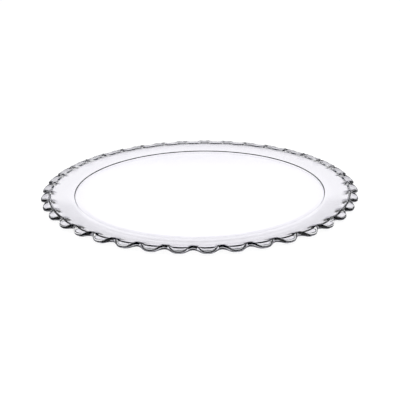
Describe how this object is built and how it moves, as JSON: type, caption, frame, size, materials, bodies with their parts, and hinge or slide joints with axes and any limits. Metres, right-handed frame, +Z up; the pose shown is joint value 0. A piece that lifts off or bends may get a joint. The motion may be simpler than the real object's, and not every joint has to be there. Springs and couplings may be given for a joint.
{
  "type": "cake plate",
  "caption": "Round flat clear-glass cake plate with a recessed flat well and a wide low rim ruffled into petals along its edge.",
  "frame": {"origin": "centre of the flat base, on the surface the plate stands on", "axes": "+Z up through the middle of the plate, -Y towards the viewer of the picture with a petal centred on it, +X to the viewer's right"},
  "size_m": [0.319, 0.32, 0.0079],
  "materials": {
    "clear_glass": "fire-polished clear pressed glass"
  },
  "bodies": {
    "root": {"glass_plate": "clear_glass"}
  },
  "joints": []
}
